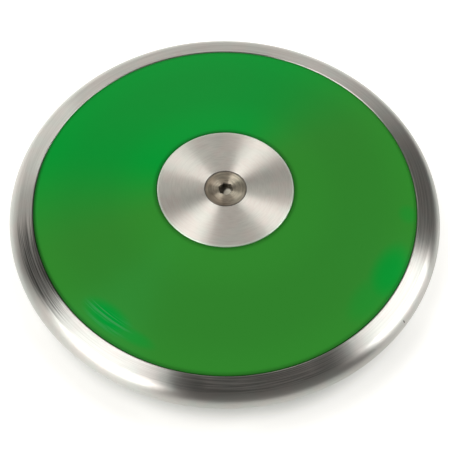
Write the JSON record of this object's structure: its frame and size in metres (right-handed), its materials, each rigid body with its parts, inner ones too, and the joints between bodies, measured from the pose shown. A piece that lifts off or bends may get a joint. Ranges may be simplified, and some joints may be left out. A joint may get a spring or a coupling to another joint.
{
  "type": "throwing discus",
  "caption": "Competition throwing discus with a turned metal rim, green moulded side plates and flush screwed centre plates, resting flat.",
  "frame": {"origin": "centre of the discus, on its spin axis, midway between the two flat centres", "axes": "+Z is the spin axis, up from the surface that the discus lies on; both faces are alike"},
  "size_m": [0.181, 0.181, 0.038],
  "materials": {
    "turned_steel": "lathe turned, fine circular tool lines, unpainted",
    "green_plastic": "glossy moulded green with faint circular streaks",
    "turned_aluminium": "faced on a lathe, fine concentric grooves, bright chamfer",
    "stainless_steel": "turned head, warm grey, dark socket",
    "zinced_steel": "zinc plated, satin"
  },
  "bodies": {
    "root": {"rim": "turned_steel", "upper_side_plate": "green_plastic", "lower_side_plate": "green_plastic", "upper_centre_plate": "turned_aluminium", "lower_centre_plate": "turned_aluminium", "upper_centre_screw": "stainless_steel", "lower_centre_screw": "stainless_steel", "centre_barrel": "zinced_steel", "trim_washer_1": "zinced_steel", "trim_washer_2": "zinced_steel", "trim_washer_3": "zinced_steel", "trim_washer_4": "zinced_steel"}
  },
  "joints": []
}
